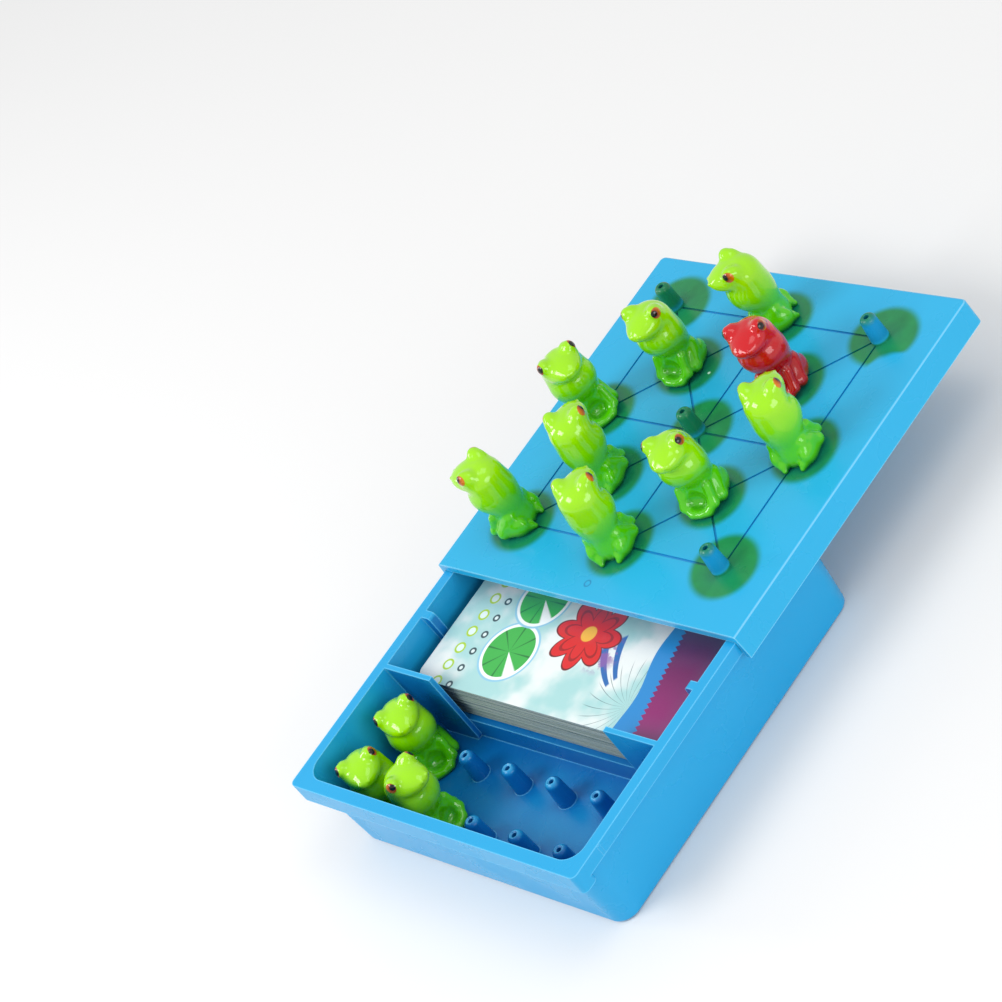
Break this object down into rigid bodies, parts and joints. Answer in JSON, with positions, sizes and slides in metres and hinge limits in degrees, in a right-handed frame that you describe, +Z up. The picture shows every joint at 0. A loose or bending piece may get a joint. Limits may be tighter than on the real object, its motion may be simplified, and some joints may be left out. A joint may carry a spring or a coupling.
{
  "type": "peg jump puzzle",
  "caption": "Peg jump puzzle: a sliding lid with pegs and engraved lines is the board, frogs fit over the pegs, and the tray under it stores spare frogs and a deck of cards.",
  "frame": {"origin": "centre of the tray's bottom face, on the surface it stands on", "axes": "+Z up; +X to the right as the player sees it; +Y away from the player, the way the lid opens"},
  "size_m": [0.1318, 0.2106, 0.0637],
  "materials": {
    "tray_blue": "satin moulded blue plastic",
    "lid_blue": "satin moulded sky-blue plastic",
    "frog_green": "glossy lime green plastic",
    "frog_red": "glossy red plastic",
    "cover_print": "printed and coated card",
    "card_stock": "cut edges of coated card"
  },
  "bodies": {
    "tray": {"tray": "tray_blue"},
    "lid": {"lid": "lid_blue"},
    "deck": {"cover_card": "cover_print", "challenge_cards": "card_stock"},
    "frog_red": {"frog_red": "frog_red"},
    "frog_green_01": {"frog_green_01": "frog_green"},
    "frog_green_02": {"frog_green_02": "frog_green"},
    "frog_green_03": {"frog_green_03": "frog_green"},
    "frog_green_04": {"frog_green_04": "frog_green"},
    "frog_green_05": {"frog_green_05": "frog_green"},
    "frog_green_06": {"frog_green_06": "frog_green"},
    "frog_green_07": {"frog_green_07": "frog_green"},
    "frog_green_08": {"frog_green_08": "frog_green"},
    "frog_green_09": {"frog_green_09": "frog_green"},
    "frog_green_10": {"frog_green_10": "frog_green"},
    "frog_green_11": {"frog_green_11": "frog_green"}
  },
  "joints": [
    {"name": "lid_slide", "type": "slide", "parent": "tray", "child": "lid", "axis": [0, 1, 0], "range_m": [-0.0767, 0.04]},
    {"name": "deck_lift", "type": "slide", "parent": "tray", "child": "deck", "axis": [0, 0, 1], "range_m": [0, 0.006]},
    {"name": "frog_red_lift", "type": "slide", "parent": "lid", "child": "frog_red", "axis": [0, 0, 1], "range_m": [0, 0.03]},
    {"name": "frog_green_01_lift", "type": "slide", "parent": "lid", "child": "frog_green_01", "axis": [0, 0, 1], "range_m": [0, 0.03]},
    {"name": "frog_green_02_lift", "type": "slide", "parent": "lid", "child": "frog_green_02", "axis": [0, 0, 1], "range_m": [0, 0.03]},
    {"name": "frog_green_03_lift", "type": "slide", "parent": "lid", "child": "frog_green_03", "axis": [0, 0, 1], "range_m": [0, 0.03]},
    {"name": "frog_green_04_lift", "type": "slide", "parent": "lid", "child": "frog_green_04", "axis": [0, 0, 1], "range_m": [0, 0.03]},
    {"name": "frog_green_05_lift", "type": "slide", "parent": "lid", "child": "frog_green_05", "axis": [0, 0, 1], "range_m": [0, 0.03]},
    {"name": "frog_green_06_lift", "type": "slide", "parent": "lid", "child": "frog_green_06", "axis": [0, 0, 1], "range_m": [0, 0.03]},
    {"name": "frog_green_07_lift", "type": "slide", "parent": "lid", "child": "frog_green_07", "axis": [0, 0, 1], "range_m": [0, 0.03]},
    {"name": "frog_green_08_lift", "type": "slide", "parent": "lid", "child": "frog_green_08", "axis": [0, 0, 1], "range_m": [0, 0.03]},
    {"name": "frog_green_09_twist", "type": "hinge", "parent": "tray", "child": "frog_green_09", "pos_m": [-0.04875, -0.02945, 0.0018], "axis": [0, 0, 1], "continuous": true},
    {"name": "frog_green_10_twist", "type": "hinge", "parent": "tray", "child": "frog_green_10", "pos_m": [-0.04875, -0.04895, 0.0018], "axis": [0, 0, 1], "continuous": true},
    {"name": "frog_green_11_twist", "type": "hinge", "parent": "tray", "child": "frog_green_11", "pos_m": [-0.02925, -0.04895, 0.0018], "axis": [0, 0, 1], "continuous": true}
  ]
}
